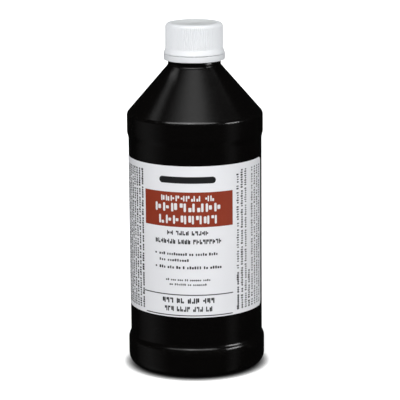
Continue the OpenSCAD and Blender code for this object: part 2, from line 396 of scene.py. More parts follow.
def moulded_white_plastic():
    """White polypropylene: satin with faint flow marks, spark-textured in the cap's dish, whose
    greyer colour is painted shade.
    """
    made, graph = new_material("moulded_white_plastic")
    place = object_place(graph)
    dish = in_dish(graph, place)
    flow = noise(graph, stretched(graph, place, (1.0, 1.0, 0.3)), 6.0)
    grain = noise(graph, place, 0.25)
    colour = blend_colours(graph, flow, *WHITE_PLASTIC)
    # The dish's greyer colour is painted shade; its spark texture is only in roughness and bumps
    colour = blend_colours(graph, dish, colour, DISH_PAINTED_SHADE_WHITE)
    roughness = 0.44 + 0.12 * flow + 0.15 * dish
    bumps = grain * (1 + 2 * dish) + 0.6 * flow
    finish_surface(graph, colour, roughness, bumps, 0.008, IOR=1.49)
    return made


def label_film():
    """White label film: smooth, with a slight tooth and uneven gloss."""
    made, graph = new_material("label_film")
    place = object_place(graph)
    tooth = noise(graph, place, 0.35, 3.0)
    cloud = noise(graph, place, 11.0)
    colour = blend_colours(graph, cloud, *WHITE_FILM)
    roughness = 0.42 + 0.1 * tooth
    finish_surface(graph, colour, roughness, tooth + 1.4 * cloud, 0.012, IOR=1.48)
    return made


def printing_ink(name, thin, full):
    """A printed ink that covers a little unevenly, between a thin and a full colour."""
    made, graph = new_material(name)
    place = object_place(graph)
    cover = noise(graph, place, 0.3, 3.0)
    roll = noise(graph, stretched(graph, place, (1.0, 1.0, 0.25)), 5.0)
    colour = blend_colours(graph, 0.5 * cover + 0.5 * roll, thin, full)
    roughness = 0.46 + 0.12 * cover
    finish_surface(graph, colour, roughness, cover, 0.004, IOR=1.45)
    return made


def liner_foam():
    """White polyethylene foam with fine closed cells under its skin."""
    made, graph = new_material("liner_foam")
    place = object_place(graph)
    inputs = {"Vector": place, "Scale": 1 / (0.35 * MM)}
    cells = graph.add("ShaderNodeTexVoronoi", inputs, output="Distance")
    cloud = noise(graph, place, 3.0)
    colour = blend_colours(graph, cloud, *WHITE_FOAM)
    roughness = 0.6 + 0.15 * cells
    finish_surface(graph, colour, roughness, cells, 0.03)
    return made


# ---------------------------------------------------------------- outlines and turned shells


def arc(x, z, r, start, stop, steps=10):
    """Round stretch of an outline about (x, z), between two angles in degrees."""
    angles = np.radians(np.linspace(start, stop, steps + 1))
    return [(x + r * math.cos(a), z + r * math.sin(a)) for a in angles]


def eased(r0, z0, r1, z1, steps=10):
    """Eased step from radius r0 at height z0 to radius r1 at height z1."""
    shares = np.linspace(0, 1, steps + 1)
    return [(r0 + (r1 - r0) * (1 - math.cos(math.pi * t)) / 2, z0 + (z1 - z0) * t) for t in shares]


def stepped(r0, z0, r1, z1, steps=8):
    """Step from one radius to another on two equal arcs that meet halfway."""
    lean = 2 * math.atan(abs(r1 - r0) / (z1 - z0))
    bend = (z1 - z0) / (2 * math.sin(lean))
    points = []
    for a in np.linspace(0, lean, steps + 1):
        share = bend * (1 - math.cos(a)) / abs(r1 - r0)
        points.append((r0 + (r1 - r0) * share, z0 + bend * math.sin(a)))
    for r, z in reversed(points[:-1]):
        points.append((r0 + r1 - r, z0 + z1 - z))
    return points


def straight(r, z0, z1, step):
    """Points up or down a straight wall, at most step apart."""
    count = math.ceil(abs(z1 - z0) / step)
    return [(r, z) for z in np.linspace(z0, z1, count + 1)]


def wall_faces(rows, side, ring=False):
    """Faces between rows of side points each, and from the last to the first in a ring."""
    faces = []
    for row in range(rows if ring else rows - 1):
        above = (row + 1) % rows
        for k in range(side):
            after = (k + 1) % side
            faces.append((row * side + k, row * side + after,
                          above * side + after, above * side + k))
    return faces


def tube_faces(rows, side):
    """Faces of a closed tube: its two ends, then the walls between its rows."""
    last = (rows - 1) * side
    return [tuple(range(side)), tuple(range(last, last + side)), *wall_faces(rows, side)]


def link(piece):
    bpy.context.scene.collection.objects.link(piece)
    return piece


def mesh_piece(name, points, faces, material=None):
    """A piece from points in millimetres, with its faces turned outwards."""
    mesh = bpy.data.meshes.new(name)
    mesh.from_pydata([tuple(p) for p in np.asarray(points, float) * MM], [], faces)
    if material:
        mesh.materials.append(material)
    piece = link(bpy.data.objects.new(name, mesh))
    tidy_shell(piece)
    return piece


def tidy_shell(piece):
    """Merges points that coincide, drops what collapses and turns the faces outwards."""
    shell = bmesh.new()
    shell.from_mesh(piece.data)
    bmesh.ops.remove_doubles(shell, verts=shell.verts, dist=MERGE_WITHIN * MM)
    bmesh.ops.dissolve_degenerate(shell, edges=shell.edges, dist=MERGE_WITHIN * MM / 4)
    bmesh.ops.recalc_face_normals(shell, faces=shell.faces)
    shell.to_mesh(piece.data)
    shell.free()


def smooth(piece, crisp_from=CRISP_FROM):
    """Smooth shading, with crisp edges where faces meet at crisp_from degrees or more."""
    piece.data.shade_smooth()
    piece.data.set_sharp_from_angle(angle=math.radians(crisp_from))


def round_steps(count):
    """Even steps once round the axis, in degrees."""
    return np.arange(count) * 360 / count


def turned(name, outline, angles, material, swell=None, ring=False):
    """A closed shell: an outline of (radius, height) points turned round the axis.

    swell(angles, radii, heights) gives what is added to each radius. The outline starts and
    ends on the axis, or is a closed loop where ring is set.
    """
    outline = np.array(outline)
    angles = np.asarray(angles, float)
    radii = np.repeat(outline[:, :1], len(angles), axis=1)
    heights = np.repeat(outline[:, 1:], len(angles), axis=1)
    if swell:
        radii = radii + swell(angles, radii, heights)
    x = radii * np.cos(np.radians(angles))
    y = radii * np.sin(np.radians(angles))
    points = np.stack([x, y, heights], axis=-1).reshape(-1, 3)
    faces = wall_faces(len(outline), len(angles), ring)
    return mesh_piece(name, points, faces, material)


def thread_share(angles, heights, thread, middle):
    """Share of a thread's height at each angle and height; its middle starts at angle 0."""
    share = np.zeros_like(heights)
    stop = thread["start"] + thread["turns"] * 360
    for turn in range(3):
        along = angles + 360 * turn
        rise = np.clip(np.minimum(along - thread["start"], stop - along) / THREAD_FADE, 0, 1)
        away = np.abs(heights - middle - PITCH * along / 360)
        flank = (thread["foot"] - thread["crest"]) / 2
        side = np.clip((thread["foot"] / 2 - away) / flank, 0, 1)
        share = np.maximum(share, rise * side * side * (3 - 2 * side))
    return share


# ---------------------------------------------------------------- bottle


def dome(lift):
    """The pushed-up base, from the axis out to the foot."""
    points = [(0, PUSH_UP + lift)]
    for share in np.linspace(0, 1, DOME_RINGS + 1):
        r = DOME_FLAT_R + (FOOT_IN_R - DOME_FLAT_R) * share
        points.append((r, PUSH_UP * (1 - share ** DOME_POWER) + lift))
    return points


def body_wall(inwards):
    """The body's wall from the heel to the shoulder's rounding, moved inwards."""
    edge_cut = EDGE_ROUND * math.tan(CONE_BEND / 2)
    return [
        *arc(FOOT_R, HEEL_R, HEEL_R - inwards, -90, 0, 14),
        *stepped(BASE_R - inwards, BASE_H - SOFTEN, PANEL_R - inwards, PANEL_Z0 + SOFTEN),
        *stepped(PANEL_R - inwards, PANEL_Z1 - SOFTEN, BULGE_R - inwards, BULGE_Z0 + SOFTEN),
        *arc(BULGE_R - EDGE_ROUND, BULGE_Z1 - edge_cut, EDGE_ROUND - inwards,
             0, math.degrees(CONE_BEND)),
    ]


def neck_outside():
    """The neck's outside, from the crease under the collar up to the mouth's outer edge."""
    crease_z = NECK_Z + CREASE_ROUND * math.tan(CONE_BEND / 2)
    return [
        *arc(COLLAR_R + CREASE_ROUND, crease_z, CREASE_ROUND, 180 + math.degrees(CONE_BEND), 180),
        *eased(COLLAR_R, NECK_Z + COLLAR_H, ROOT_R, NECK_Z + COLLAR_H + COLLAR_STEP, 6),
        (ROOT_R, BEAD_Z),
        (BEAD_R - BEAD_CHAMFER, BEAD_Z),
        *arc(BEAD_R - BEAD_ROUND, BEAD_Z + BEAD_H - BEAD_ROUND / 2, BEAD_ROUND, -30, 45, 4),
        (ROOT_R, BEAD_Z1),
        *straight(ROOT_R, BEAD_Z1 + THREADED_RISE, MOUTH_Z - LAND_ROUND, NECK_STEP),
        *arc(ROOT_R - LAND_ROUND, MOUTH_Z - LAND_ROUND, LAND_ROUND, 0, 90, 6),
    ]


def bottle_outline():
    bore_z = NECK_Z + (COLLAR_R - WALL_T / math.sin(CONE_ANGLE) - BORE_R) * math.tan(CONE_ANGLE)
    return [
        *dome(0),
        *body_wall(0),
        *neck_outside(),
        *arc(BORE_R + BORE_ROUND, MOUTH_Z - BORE_ROUND, BORE_ROUND, 90, 180, 5),
        (BORE_R, bore_z),
        *reversed(body_wall(WALL_T)),
        *reversed(dome(WALL_T)),
    ]


def bottle_swell(angles, radii, heights):
    """The neck's thread, and the fine parting line up two sides of the body."""
    thread = thread_share(angles[None, :], heights, NECK_THREAD, NECK_THREAD_Z)
    outside = radii > ROOT_R - SAME_WITHIN
    threaded = outside & (heights > BEAD_Z1)
    from_line = (angles - math.degrees(LABEL_TURN)) % 180 - 90
    across = np.radians(np.abs(from_line))[None, :] * radii
    line = np.clip(1 - across / (PARTING_WIDTH / 2), 0, 1)
    walls = np.interp(heights, [HEEL_R, PANEL_Z0, NECK_Z, NECK_Z + COLLAR_H], [0, 1, 1, 0])
    inner_wall = np.zeros_like(radii, bool)
    inner_wall[np.argmax(heights[:, 0]):] = True
    line = np.where(inner_wall, 0, line * walls)
    return (THREAD_R - ROOT_R) * thread * threaded + PARTING_HEIGHT * line


def bottle_angles():
    """Even steps round the bottle, with closer ones at its two parting lines."""
    even = list(round_steps(ROUND_COUNT))
    half = math.degrees(PARTING_WIDTH / 2 / PANEL_R)
    first = math.degrees(LABEL_TURN) + 90
    lines = [first + side + step for side in (0, 180) for step in (-half, 0, half)]
    close = [a for a in even if min(abs((a - b + 180) % 360 - 180) for b in lines) > half]
    return sorted(close + [a % 360 for a in lines])


def pinch_ridge():
    """The ridge that the mould's pinch-off leaves across the base."""
    half = PINCH_LENGTH / 2
    points = []
    for share, size in PINCH_TAPER:
        for across, down in PINCH_SECTION:
            depth = PINCH_DEPTH * (size if down < 0 else 1)
            points.append((share * half, across * PINCH_WIDTH * size, PUSH_UP + down * depth))
    faces = tube_faces(len(PINCH_TAPER), len(PINCH_SECTION))
    ridge = mesh_piece("pinch_ridge", points, faces)
    ridge.data.transform(Matrix.Rotation(LABEL_TURN + math.pi / 2, 4, "Z"))
    return ridge


def plain_mesh(piece):
    """Applies a piece's modifiers and leaves it a plain mesh."""
    evaluated = piece.evaluated_get(bpy.context.evaluated_depsgraph_get())
    mesh = bpy.data.meshes.new_from_object(evaluated)
    piece.modifiers.clear()
    piece.data = mesh


def unite(piece, other):
    """Joins another closed shape to a piece as one shell, and takes the other away."""
    join = piece.modifiers.new("unite", "BOOLEAN")
    join.operation = "UNION"
    join.solver = "EXACT"
    join.object = other
    plain_mesh(piece)
    bpy.data.objects.remove(other)


def make_bottle(material):
    bottle = turned("bottle_shell", bottle_outline(), bottle_angles(), material, bottle_swell)
    unite(bottle, pinch_ridge())
    smooth(bottle)
    return bottle


# ---------------------------------------------------------------- tools that repeat a shape


def new_tool(name, extra):
    """A geometry tool. extra names its inputs beside the geometry, with their socket types."""
    tree = bpy.data.node_groups.new(name, "GeometryNodeTree")
    tree.interface.new_socket("Geometry", in_out="INPUT", socket_type="NodeSocketGeometry")
    for label, kind in extra.items():
        tree.interface.new_socket(label, in_out="INPUT", socket_type="NodeSocket" + kind)
    tree.interface.new_socket("Geometry", in_out="OUTPUT", socket_type="NodeSocketGeometry")
    graph = Graph(tree)
    entry = graph.add("NodeGroupInput")
    return graph, {label: entry.output(label) for label in ("Geometry", *extra)}


def close_tool(graph, instances, material):
    """Ends a tool: real faces, merged where they meet, with their material."""
    real = graph.add("GeometryNodeRealizeInstances", {"Geometry": instances})
    inputs = {"Geometry": real, "Distance": MERGE_WITHIN * MM}
    merged = graph.add("GeometryNodeMergeByDistance", inputs)
    dressed = graph.add("GeometryNodeSetMaterial", {"Geometry": merged, "Material": material})
    graph.add("NodeGroupOutput", {"Geometry": dressed})
    return graph.tree


def ring_tool():
    """Repeats its geometry round the axis, Count times."""
    graph, given = new_tool("repeat_round", {"Count": "Int", "Material": "Material"})
    points = graph.add("GeometryNodePoints", {"Count": given["Count"]})
    index = graph.add("GeometryNodeInputIndex")
    turn = index * (2 * math.pi) / given["Count"]
    rotation = graph.add("ShaderNodeCombineXYZ", {"Z": turn})
    inputs = {"Points": points, "Instance": given["Geometry"], "Rotation": rotation}
    copies = graph.add("GeometryNodeInstanceOnPoints", inputs)
    return close_tool(graph, copies, given["Material"])


def use_tool(piece, tool, values):
    """Runs a geometry tool on a piece, with its inputs set by name, and keeps the result."""
    modifier = piece.modifiers.new(tool.name, "NODES")
    modifier.node_group = tool
    for item in tool.interface.items_tree:
        if item.in_out == "INPUT" and item.name in values:
            modifier[item.identifier] = values[item.name]
    plain_mesh(piece)


# ---------------------------------------------------------------- cap, liner and tamper band


def cap_rows():
    """Heights of the cap's outside from the top's centre down, each with two radii.

    A rib's or a valley's own radius is held between the two.
    """
    free = 2 * SKIRT_R
    dish_z = CAP_Z1 - DISH_DEPTH
    top = [(0, dish_z - GATE_DEPTH), (GATE_R, dish_z - GATE_DEPTH),
           (GATE_R + GATE_SLOPE, dish_z), (DISH_R - 2 * DISH_EDGE, dish_z),
           (DISH_R - DISH_EDGE, dish_z + DISH_DEPTH * DISH_EDGE_MIDDLE),
           (DISH_R, CAP_Z1 - DISH_DEPTH * DISH_EDGE_TOP), (DISH_R + DISH_EDGE, CAP_Z1)]
    edge = arc(RIB_R - CAP_ROUND, CAP_Z1 - CAP_ROUND, CAP_ROUND, 90, 0)
    rows = [(z, 0, r) for r, z in top + edge]
    slope_z = CAP_Z0 + SKIRT_H
    run_in_z = slope_z + SLOPE_H * (SKIRT_R - CAP_ROOT_R) / FLARE
    for z in np.linspace(run_in_z, slope_z + SLOPE_ABOVE, SLOPE_ROWS):
        rows.append((z, SKIRT_R - (z - slope_z) * FLARE / SLOPE_H, free))
    low = arc(SKIRT_R - SKIRT_ROUND, CAP_Z0 + SKIRT_ROUND, SKIRT_ROUND, 0, -90, 4)
    for r, z in [(SKIRT_R, slope_z - SKIRT_BELOW), *low]:
        rows.append((z, r, r))
    return rows


def rib_sector():
    """One rib and half a valley on each side of it, from the top's centre to the rim."""
    shares, rise = np.array(RIB_SECTION).T
    angles = np.radians(shares * 360 / RIB_COUNT)
    own = CAP_ROOT_R + RIB_H * rise
    points = []
    for z, least, most in cap_rows():
        radii = np.clip(own, least, most)
        points += [(r * math.cos(a), r * math.sin(a), z) for r, a in zip(radii, angles)]
    wide = len(shares)
    last = len(points) - wide
    first_inner = len(points)
    points += [(BAND_IN_R * math.cos(a), BAND_IN_R * math.sin(a), CAP_Z0)
               for a in (angles[0], 0, angles[-1])]
    faces = []
    for row in range(len(cap_rows()) - 1):
        for k in range(wide - 1):
            corner = row * wide + k
            faces.append((corner, corner + 1, corner + wide + 1, corner + wide))
    middle = wide // 2
    faces.append((first_inner, *range(last, last + middle + 1), first_inner + 1))
    faces.append((first_inner + 1, *range(last + middle, last + wide), first_inner + 2))
    return mesh_piece("cap_shell", points, faces)


def cavity_outline():
    """The space inside the cap, from the rim's inner edge up to the ceiling's centre."""
    step_z = CAP_Z0 + SKIRT_H
    lip_z = LINER_Z0 - LIP_CLEAR
    return [
        (BAND_IN_R, CAP_Z0), (BAND_IN_R, step_z),
        *straight(CAP_IN_R, step_z + BORE_SLOPE_H, lip_z - LIP_H, CAVITY_STEP),
        (CAP_IN_R - LIP_IN, lip_z - LIP_H * 2 / 3), (CAP_IN_R - LIP_IN, lip_z - LIP_H / 3),
        (CAP_IN_R, lip_z), (CAP_IN_R, CEILING_Z), (0, CEILING_Z),
    ]


def cavity_swell(angles, radii, heights):
    """The cap's thread, which points inwards."""
    share = thread_share(angles[None, :], heights, CAP_THREAD, CAP_THREAD_Z)
    walls = (radii < CAP_IN_R + SAME_WITHIN) & (radii > CAP_IN_R - SAME_WITHIN)
    return -CAP_THREAD_DEPTH * share * walls


def make_cap(material, repeat_round):
    cap = rib_sector()
    use_tool(cap, repeat_round, {"Count": RIB_COUNT, "Material": material})
    angles = (np.arange(2 * RIB_COUNT) + 1) * 180 / RIB_COUNT
    cavity = turned("cavity", cavity_outline(), angles, material, cavity_swell)
    shell = bmesh.new()
    shell.from_mesh(cap.data)
    shell.from_mesh(cavity.data)
    shell.to_mesh(cap.data)
    shell.free()
    bpy.data.objects.remove(cavity)
    tidy_shell(cap)
    smooth(cap, CAP_CRISP_FROM)
    return cap


def make_liner(material):
    """Foam disc, with the ring that the bottle's mouth presses into its underside."""
    edge = LINER_EDGE
    slope = MOUTH_MARK_SLOPE
    mark_z = LINER_Z0 + MOUTH_MARK_DEPTH
    outline = [
        (0, LINER_Z0), (BORE_R - slope, LINER_Z0), (BORE_R + slope, mark_z),
        (ROOT_R - slope, mark_z), (ROOT_R + slope, LINER_Z0),
        *arc(LINER_R - edge, LINER_Z0 + edge, edge, -90, 0, 4),
        *arc(LINER_R - edge, LINER_Z1 - edge, edge, 0, 90, 4),
        (0, LINER_Z1),
    ]
    liner = turned("liner_disc", outline, round_steps(LINER_COUNT), material)
    smooth(liner)
    return liner


def band_outline():
    """The tamper band's section, with the catch that reaches in under the neck's bead."""
    catch_r = BEAD_R - CATCH_IN
    catch_z = BEAD_Z - CATCH_CLEAR
    outer = BAND_R - BAND_SWELL
    return [
        (BAND_IN_R, BAND_Z0),
        *arc(outer - BAND_EDGE, BAND_Z0 + BAND_EDGE, BAND_EDGE, -90, 0, 5),
        (BAND_R, BAND_Z1 - 3 * BAND_EDGE),
        *arc(BAND_R - SKIRT_ROUND, BAND_Z1 - SKIRT_ROUND, SKIRT_ROUND, 0, 90, 4),
        (BAND_IN_R, BAND_Z1), (BAND_IN_R, catch_z + CATCH_CLEAR / 2),
        (catch_r, catch_z), (catch_r, catch_z - BAND_EDGE * 2),
        (BAND_IN_R, catch_z - CATCH_CLEAR - BAND_EDGE * 2),
    ]


def bridge_stub():
    """What is left of one broken bridge: a block that tapers to its torn end."""
    middle = (BAND_IN_R + BAND_R - BAND_SWELL) / 2
    across = (BAND_R - BAND_IN_R) / 2 - BRIDGE_ROOT
    rows = ((BAND_Z1 - BRIDGE_ROOT, 1), (BAND_Z1 + BRIDGE_H / 10, 1), (BRIDGE_Z1, TORN_SIZE))
    points = []
    for z, size in rows:
        points += [(middle + x * across * size, y * BRIDGE_W / 2 * size, z)
                   for x, y in ((-1, -1), (1, -1), (1, 1), (-1, 1))]
    return mesh_piece("bridge_stubs", points, tube_faces(len(rows), 4))


def make_band(material, repeat_round):
    band = turned("tamper_ring", band_outline(), round_steps(ROUND_COUNT), material, ring=True)
    stubs = bridge_stub()
    use_tool(stubs, repeat_round, {"Count": BRIDGE_COUNT, "Material": material})
    unite(band, stubs)
    smooth(band)
    return band


# ---------------------------------------------------------------- label and its print

# Lines of print, white on the red block and black under it: middle above the label's foot,
# length, height, and the letters in each word
WHITE_LINES = [
    (62.1, 28.2, 2.9, (8, 2)),
    (57.4, 35.4, 4.4, (8,)),
    (51.1, 31.2, 4.4, (8,)),
]
BOLD_LINES = [
    (44.2, 21.6, 2.3, (2, 4, 5)),
    (39.7, 35.2, 2.5, (7, 4, 9)),
    (8.8, 27.6, 2.8, (3, 2, 3, 3)),
    (4.4, 25.2, 2.7, (3, 4, 3, 2)),
]
# The same, with the line's middle along the label first
PLAIN_LINES = [
    (0.1, 33.2, 31.0, 1.5, (3, 9, 2, 5, 4)),
    (-7.3, 30.0, 16.2, 1.4, (3, 9)),
    (1.15, 26.2, 33.1, 1.5, (3, 3, 2, 1, 6, 2, 5)),
    (0, 19.7, 23.4, 1.05, (2, 3, 3, 2, 6, 4)),
    (0, 17.3, 19.4, 1.05, (2, 6, 2, 7)),
]
BULLETS = [(-17.3, 33.2), (-17.2, 26.2)]
BULLET_SIZE = 0.9

# The front panel: its ends along the label, the red block's foot and head, each rule's height
# and ends, and the middle and size of the name's place
PANEL_LEFT = -24.1
PANEL_RIGHT = 24.1
BLOCK_FOOT = 47.3
BLOCK_HEAD = 65.3
RULES = [(11.8, -25.6, PANEL_RIGHT), (0.95, -24.4, PANEL_RIGHT - 0.2)]
RULE_T = 0.5
NAME_PLACE = (0, 71.5, 29.5, 3.4)

# How heavy a line's blocks are, where 1 is the weight of ordinary print
WHITE_WEIGHT = 1.05
BOLD_WEIGHT = 1.22
FULL_WEIGHT = 1
PLAIN_WEIGHT = 0.9
LIGHT_WEIGHT = 0.75
FAINT_WEIGHT = 0.7

# A letter's blocks. Heights are shares of the line's height, the rest shares of the pitch
LETTER_HEIGHTS = (0.75, 0.75, 1)
LETTER_WIDTHS = (0.62, 0.75, 0.84)
WIDEST_LETTER = 0.92
BOWL_HEIGHTS = (0.35, 0.5, 0.5, 0.8)
STROKE_AT = 0.24
STROKE_W = 0.26
BOWL_AT = 0.17
BOWL_W = 0.34
WORD_SPACE = 0.7
PRINT_SEED = 16

# Upright lines at both ends of the label: place along it, foot, head and weight
SIDE_FOOT = 2.2
SIDE_MIDDLE = 22
SIDE_HEAD = 75.5
SIDE_PRINT_H = 1.4
SIDE_LETTER_W = 1.15
SIDE_WORD = (2, 8)
SIDE_LINES = [
    (-26.5, SIDE_FOOT, SIDE_HEAD, BOLD_WEIGHT),
    *[(-29 - 2.4 * k, SIDE_FOOT, SIDE_HEAD, FULL_WEIGHT) for k in range(8)],
    (27.2, SIDE_FOOT, SIDE_MIDDLE, BOLD_WEIGHT),
    (27.2, SIDE_MIDDLE + 1.5, SIDE_HEAD - 2, FAINT_WEIGHT),
    (30, SIDE_FOOT, SIDE_HEAD, PLAIN_WEIGHT),
    (32.7, SIDE_FOOT, SIDE_HEAD, LIGHT_WEIGHT),
    (35.3, SIDE_FOOT, SIDE_MIDDLE, PLAIN_WEIGHT),
    *[(38 + 2.7 * k, SIDE_FOOT, SIDE_HEAD, LIGHT_WEIGHT) for k in range(4)],
]


def laid_on_panel(u, out, v):
    """A place on the flat label, u along it and v up from its foot, laid round the panel."""
    angle = LABEL_TURN + u / PANEL_R
    r = PANEL_R + out
    return r * math.cos(angle), r * math.sin(angle), LABEL_Z0 + v


def curved_sheet(name, left, right, foot, head, corner, low, high, material):
    """A thin closed sheet laid round the panel, from low to high above it."""
    quarter = np.linspace(0, math.pi / 2, 9) if corner else [0]
    bends = [corner * (1 - math.cos(a)) for a in quarter]
    count = math.ceil((right - left - 2 * corner) / SHEET_STEP)
    middle = list(np.linspace(left + corner, right - corner, count + 1))[1:-1]
    columns = [left + b for b in bends] + middle + [right - b for b in reversed(bends)]
    points = []
    for u in columns:
        near = min(u - left, right - u, corner)
        cut = corner - math.sqrt(max(corner ** 2 - (corner - near) ** 2, 0))
        points += [laid_on_panel(u, high, foot + cut), laid_on_panel(u, high, head - cut),
                   laid_on_panel(u, low, head - cut), laid_on_panel(u, low, foot + cut)]
    return mesh_piece(name, points, tube_faces(len(columns), 4), material)


def bars_tool():
    """Sets a block at each point, to that point's "size", and lays it round the panel."""
    extra = {"Panel radius": "Float", "Label turn": "Float", "Material": "Material"}
    graph, given = new_tool("printed_blocks", extra)
    sizes = {"Size": (1, 1, 1), "Vertices X": 6, "Vertices Y": 2, "Vertices Z": 2}
    block = graph.add("GeometryNodeMeshCube", sizes)
    place = graph.add("GeometryNodeInputPosition")
    apart = graph.add("ShaderNodeSeparateXYZ", {"Vector": place})
    at_end = apart.maths("GREATER_THAN", apart.maths("ABSOLUTE", apart), 0.45)
    eased_end = {"X": apart, "Y": apart.output("Y"), "Z": apart.output("Z") * (1 - 0.2 * at_end)}
    shape = graph.add("ShaderNodeCombineXYZ", eased_end)
    block = graph.add("GeometryNodeSetPosition", {"Geometry": block, "Position": shape})
    size = graph.add("GeometryNodeInputNamedAttribute", {"Name": "size"},
                     {"data_type": "FLOAT_VECTOR"})
    inputs = {"Points": given["Geometry"], "Instance": block, "Scale": size}
    copies = graph.add("GeometryNodeInstanceOnPoints", inputs)
    real = graph.add("GeometryNodeRealizeInstances", {"Geometry": copies})
    flat = graph.add("ShaderNodeSeparateXYZ", {"Vector": place})
    angle = given["Label turn"] + flat / given["Panel radius"]
    radius = given["Panel radius"] + flat.output("Y")
    wrapped = graph.add("ShaderNodeCombineXYZ", {
        "X": radius * angle.maths("COSINE", angle),
        "Y": radius * angle.maths("SINE", angle),
        "Z": flat.output("Z"),
    })
    laid = graph.add("GeometryNodeSetPosition", {"Geometry": real, "Position": wrapped})
    # Laying u to the right and out to the front mirrors the blocks, so their faces turn back
    outwards = graph.add("GeometryNodeFlipFaces", {"Mesh": laid})
    return close_tool(graph, outwards, given["Material"])


def letter_marks(pitch, height, weight, parted, draw):
    """Blocks that stand for one letter: (along, up, wide, tall) of each, from its middle."""
    if not parted:
        tall = height * draw.choice(LETTER_HEIGHTS)
        wide = pitch * min(weight * draw.choice(LETTER_WIDTHS), WIDEST_LETTER)
        return [(0, (tall - height) / 2, wide, tall)]
    side = draw.choice((-1, 1)) * pitch
    tall = height * draw.choice(BOWL_HEIGHTS)
    up = (height - tall) / 2 * draw.choice((-1, 0, 1))
    stroke = (-STROKE_AT * side, 0, STROKE_W * pitch * weight, height)
    return [stroke, (BOWL_AT * side, up, BOWL_W * pitch * weight, tall)]


def printed_line(u, v, length, height, words, draw, weight=1, parted=False, upright=False):
    """Blocks of one line of print about its middle (u, v): (u, v, width, height) of each.

    words counts the letters in each word, and weight makes them bolder or lighter. A parted
    letter is a stroke and a block beside it. An upright line reads up the label.
    """
    pitch = length / (sum(words) + WORD_SPACE * (len(words) - 1))
    start = -length / 2
    blocks = []
    for word in words:
        for letter in range(word):
            middle = start + pitch * (letter + 0.5)
            for along, up, wide, tall in letter_marks(pitch, height, weight, parted, draw):
                if upright:
                    blocks.append((u - up, v + middle + along, tall, wide))
                else:
                    blocks.append((u + middle + along, v + up, wide, tall))
        start += pitch * (word + WORD_SPACE)
    return blocks


def print_piece(name, blocks, out, tool, material):
    """One ink's blocks as a piece, whose outer face is out above the panel."""
    middle = out - (INK_T + LET_IN) / 2
    mesh = bpy.data.meshes.new(name)
    places = [(u * MM, middle * MM, (LABEL_Z0 + v) * MM) for u, v, _, _ in blocks]
    mesh.from_pydata(places, [], [])
    sizes = mesh.attributes.new("size", "FLOAT_VECTOR", "POINT")
    scales = [(wide * MM, (INK_T + LET_IN) * MM, tall * MM) for _, _, wide, tall in blocks]
    sizes.data.foreach_set("vector", np.array(scales).ravel())
    piece = link(bpy.data.objects.new(name, mesh))
    values = {"Panel radius": PANEL_R * MM, "Label turn": LABEL_TURN, "Material": material}
    use_tool(piece, tool, values)
    return piece


def side_print(draw):
    """Upright lines of small print at both ends of the label."""
    blocks = []
    for u, foot, head, weight in SIDE_LINES:
        letters = round((head - foot) / SIDE_LETTER_W)
        words = [draw.randint(*SIDE_WORD)]
        while sum(words) + len(words) < letters - 4:
            words.append(draw.randint(*SIDE_WORD))
        middle = (foot + head) / 2
        blocks += printed_line(u, middle, head - foot, SIDE_PRINT_H, words, draw, weight,
                               upright=True)
    return blocks


def make_label(film, black, red, white):
    """The film, its red block and rules, and the blocks that stand for its print."""
    draw = random.Random(PRINT_SEED)
    out = LABEL_T + INK_T
    label = curved_sheet("label_sheet", -LABEL_W / 2, LABEL_W / 2, 0, LABEL_Z1 - LABEL_Z0,
                         LABEL_CORNER, -LET_IN, LABEL_T, film)
    block = curved_sheet("red_panel", PANEL_LEFT, PANEL_RIGHT, BLOCK_FOOT, BLOCK_HEAD, 0,
                         LABEL_T - LET_IN, out, red)
    rules = [curved_sheet(f"rule_{k}", left, right, v - RULE_T / 2, v + RULE_T / 2, 0,
                          LABEL_T - LET_IN, out, black)
             for k, (v, left, right) in enumerate(RULES)]
    u, v, wide, tall = NAME_PLACE
    bar = curved_sheet("name_bar", u - wide / 2, u + wide / 2, v - tall / 2, v + tall / 2,
                       tall / 2 - 0.01, LABEL_T - LET_IN, out, black)
    tool = bars_tool()
    white_blocks = []
    for v, length, tall, words in WHITE_LINES:
        white_blocks += printed_line(0, v, length, tall, words, draw, WHITE_WEIGHT, True)
    black_blocks = [(u, v, BULLET_SIZE, BULLET_SIZE) for u, v in BULLETS]
    for v, length, tall, words in BOLD_LINES:
        black_blocks += printed_line(0, v, length, tall, words, draw, BOLD_WEIGHT, True)
    for u, v, length, tall, words in PLAIN_LINES:
        black_blocks += printed_line(u, v, length, tall, words, draw, PLAIN_WEIGHT)
    black_blocks += side_print(draw)
    whites = print_piece("white_print", white_blocks, out + INK_T, tool, white)
    blacks = print_piece("black_print", black_blocks, out, tool, black)
    for piece in (label, block, *rules, bar, whites, blacks):
        smooth(piece)
    return label, [block, *rules, bar, whites, blacks]


# ---------------------------------------------------------------- studio

# The floor, and how far its painted contact shadow reaches past the foot
FLOOR_HALF = 3000
FLOOR_DROP = 0.05
CONTACT_REACH = 4.6
# Metres from the axis between which the floor's own glow eases from one level to another
GLOW_FROM = 0.045
GLOW_TO = 0.3
GLOW_NEAR = 0.7
GLOW_FAR = 1.0
WORLD_LIGHT = (0.13, 0.14, 0.145)
WHITE = (1, 1, 1)
FLOOR_WHITE = (0.6, 0.6, 0.6)
FLOOR_BOUNCE = (0.42, 0.42, 0.42)

# What only gloss shows: a dark drape round the set and the lit cloths in it. A card's corners
# or middle and half sides are shares of the drape's height. Levels are brightness
DRAPE_R = 2500
DRAPE_H = 2400
DRAPE_DROP = 0.02
DRAPE_LEVEL = 0.006
CARD_STEPS = 5
SILK_DROP = 50
SOFT_CARD_DROP = 60
SILK = [(-0.8, -0.9), (-0.18, -0.9), (0.97, 0.3), (-0.8, 0.3)]
SILK_LEVEL = 0.82
